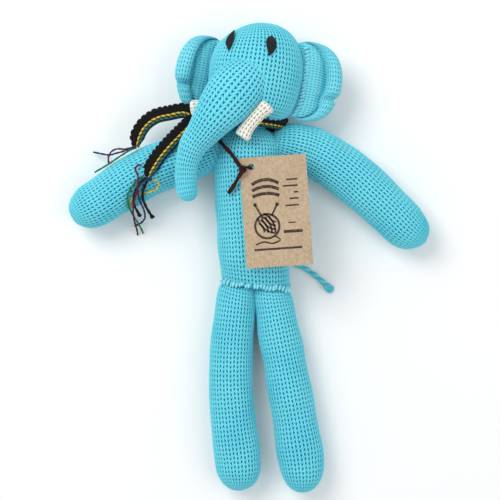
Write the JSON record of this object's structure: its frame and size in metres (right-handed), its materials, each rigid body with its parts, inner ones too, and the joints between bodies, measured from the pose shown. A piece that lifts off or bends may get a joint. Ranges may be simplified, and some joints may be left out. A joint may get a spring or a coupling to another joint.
{
  "type": "stuffed elephant",
  "caption": "Hand-knitted stuffed elephant lying on its back, with jointed head, trunk, ears, arms, legs and tail, a striped crocheted scarf and a hang tag.",
  "frame": {"origin": "middle of the torso's flattened back, on the surface the toy lies on", "axes": "+Y from the torso to the head, +Z out of the belly, +X to the right of the toy seen from above with its head up"},
  "size_m": [0.2924, 0.3826, 0.0749],
  "materials": {
    "turquoise_knit": "stockinette knit of fine cotton yarn, matt",
    "turquoise_ear_knit": "finer stockinette, rolled at the rim",
    "turquoise_cord": "twisted two-ply cotton cord",
    "fibre_filling": "loose polyester fibre",
    "cream_knit": "undyed cotton knit",
    "black_stitching": "satin stitch in black cotton",
    "crocheted_scarf": "crocheted cotton, black with coloured stripes",
    "fringe_navy": "cotton yarn",
    "fringe_green": "cotton yarn",
    "fringe_purple": "cotton yarn",
    "fringe_maroon": "cotton yarn",
    "fringe_yellow": "cotton yarn",
    "fringe_black": "cotton yarn",
    "kraft_card": "uncoated kraft card",
    "maroon_tie_yarn": "plied cotton yarn"
  },
  "bodies": {
    "torso": {"torso_skin": "turquoise_knit", "torso_stuffing": "fibre_filling", "left_hip_seam": "turquoise_knit", "right_hip_seam": "turquoise_knit", "scarf_loop": "crocheted_scarf", "tag_tie": "maroon_tie_yarn", "tag_tie_loop": "maroon_tie_yarn"},
    "neck": {"neck_gather": "turquoise_knit"},
    "head": {"head_skin": "turquoise_knit", "head_stuffing": "fibre_filling", "left_eye": "black_stitching", "right_eye": "black_stitching", "left_tusk": "cream_knit", "right_tusk": "cream_knit", "left_ear_seam": "turquoise_knit", "right_ear_seam": "turquoise_knit"},
    "trunk": {"trunk_skin": "turquoise_knit", "trunk_stuffing": "fibre_filling"},
    "left_ear": {"left_ear": "turquoise_ear_knit"},
    "right_ear": {"right_ear": "turquoise_ear_knit"},
    "left_shoulder": {"left_shoulder_gather": "turquoise_knit"},
    "right_shoulder": {"right_shoulder_gather": "turquoise_knit"},
    "left_arm": {"left_arm_skin": "turquoise_knit", "left_arm_stuffing": "fibre_filling"},
    "right_arm": {"right_arm_skin": "turquoise_knit", "right_arm_stuffing": "fibre_filling"},
    "left_leg": {"left_leg_skin": "turquoise_knit", "left_leg_stuffing": "fibre_filling"},
    "right_leg": {"right_leg_skin": "turquoise_knit", "right_leg_stuffing": "fibre_filling"},
    "scarf_upper": {"scarf_tail_upper": "crocheted_scarf", "fringe_upper_navy": "fringe_navy", "fringe_upper_green": "fringe_green", "fringe_upper_purple": "fringe_purple"},
    "scarf_lower": {"scarf_tail_lower": "crocheted_scarf", "fringe_lower_maroon": "fringe_maroon", "fringe_lower_navy": "fringe_navy", "fringe_lower_green": "fringe_green", "fringe_lower_yellow": "fringe_yellow", "fringe_lower_black_1": "fringe_black", "fringe_lower_black_2": "fringe_black"},
    "tail": {"tail_cord": "turquoise_cord", "tail_knot": "turquoise_cord"},
    "tag": {"tag_card": "kraft_card"}
  },
  "joints": [
    {"name": "neck_nod", "type": "hinge", "parent": "torso", "child": "neck", "pos_m": [0.004, 0.076, 0.025], "axis": [1, 0, 0], "range_deg": [-35, 0], "deforming": ["scarf_loop"]},
    {"name": "neck_turn", "type": "hinge", "parent": "neck", "child": "head", "pos_m": [0.004, 0.076, 0.025], "axis": [0, 1, 0], "range_deg": [0, 45]},
    {"name": "trunk_lift", "type": "hinge", "parent": "head", "child": "trunk", "pos_m": [0.006, 0.121, 0.0685], "axis": [-0.7828, 0.6222, 0], "range_deg": [0, 75]},
    {"name": "left_ear_flap", "type": "hinge", "parent": "head", "child": "left_ear", "pos_m": [-0.02549, 0.1211, 0.01608], "axis": [0.2198, 0.9755, 0], "range_deg": [-30, 40]},
    {"name": "right_ear_flap", "type": "hinge", "parent": "head", "child": "right_ear", "pos_m": [0.05065, 0.11009, 0.03663], "axis": [-0.2198, -0.9755, 0], "range_deg": [-30, 70]},
    {"name": "left_arm_raise", "type": "hinge", "parent": "torso", "child": "left_shoulder", "pos_m": [-0.0315, 0.061, 0.02], "axis": [0, 0, -1], "range_deg": [-30, 8], "deforming": ["scarf_tail_upper", "scarf_tail_lower", "fringe_upper_navy", "fringe_upper_green", "fringe_upper_purple", "fringe_lower_maroon", "fringe_lower_navy", "fringe_lower_green", "fringe_lower_yellow", "fringe_lower_black_1", "fringe_lower_black_2"]},
    {"name": "left_arm_swing", "type": "hinge", "parent": "left_shoulder", "child": "left_arm", "pos_m": [-0.0315, 0.061, 0.02], "axis": [-0.2501, 0.9682, 0], "range_deg": [-55, 0]},
    {"name": "right_arm_raise", "type": "hinge", "parent": "torso", "child": "right_shoulder", "pos_m": [0.0315, 0.061, 0.02], "axis": [0, 0, 1], "range_deg": [-30, 8]},
    {"name": "right_arm_swing", "type": "hinge", "parent": "right_shoulder", "child": "right_arm", "pos_m": [0.0315, 0.061, 0.02], "axis": [-0.3499, -0.9368, 0], "range_deg": [-55, 28]},
    {"name": "left_hip_fold", "type": "hinge", "parent": "torso", "child": "left_leg", "pos_m": [0, -0.051, 0.019], "axis": [-0.9851, 0.1719, 0], "range_deg": [-30, 75]},
    {"name": "right_hip_fold", "type": "hinge", "parent": "torso", "child": "right_leg", "pos_m": [0, -0.051, 0.019], "axis": [-0.9851, 0.1719, 0], "range_deg": [-30, 75]},
    {"name": "scarf_upper_lift", "type": "hinge", "parent": "torso", "child": "scarf_upper", "pos_m": [-0.036, 0.088, 0.033], "axis": [0.1498, 0.9887, 0], "range_deg": [0, 60]},
    {"name": "scarf_lower_lift", "type": "hinge", "parent": "torso", "child": "scarf_lower", "pos_m": [-0.045, 0.08, 0.04], "axis": [-0.6971, 0.717, 0], "range_deg": [0, 60]},
    {"name": "tail_swing", "type": "hinge", "parent": "torso", "child": "tail", "pos_m": [0.0235, -0.03, 0.007], "axis": [0, 0, 1], "range_deg": [-20, 40]},
    {"name": "tag_lift", "type": "hinge", "parent": "torso", "child": "tag", "pos_m": [0.02, 0.0504, 0.0524], "axis": [1, 0, 0], "range_deg": [-100, 0], "deforming": ["tag_tie", "tag_tie_loop"]}
  ]
}
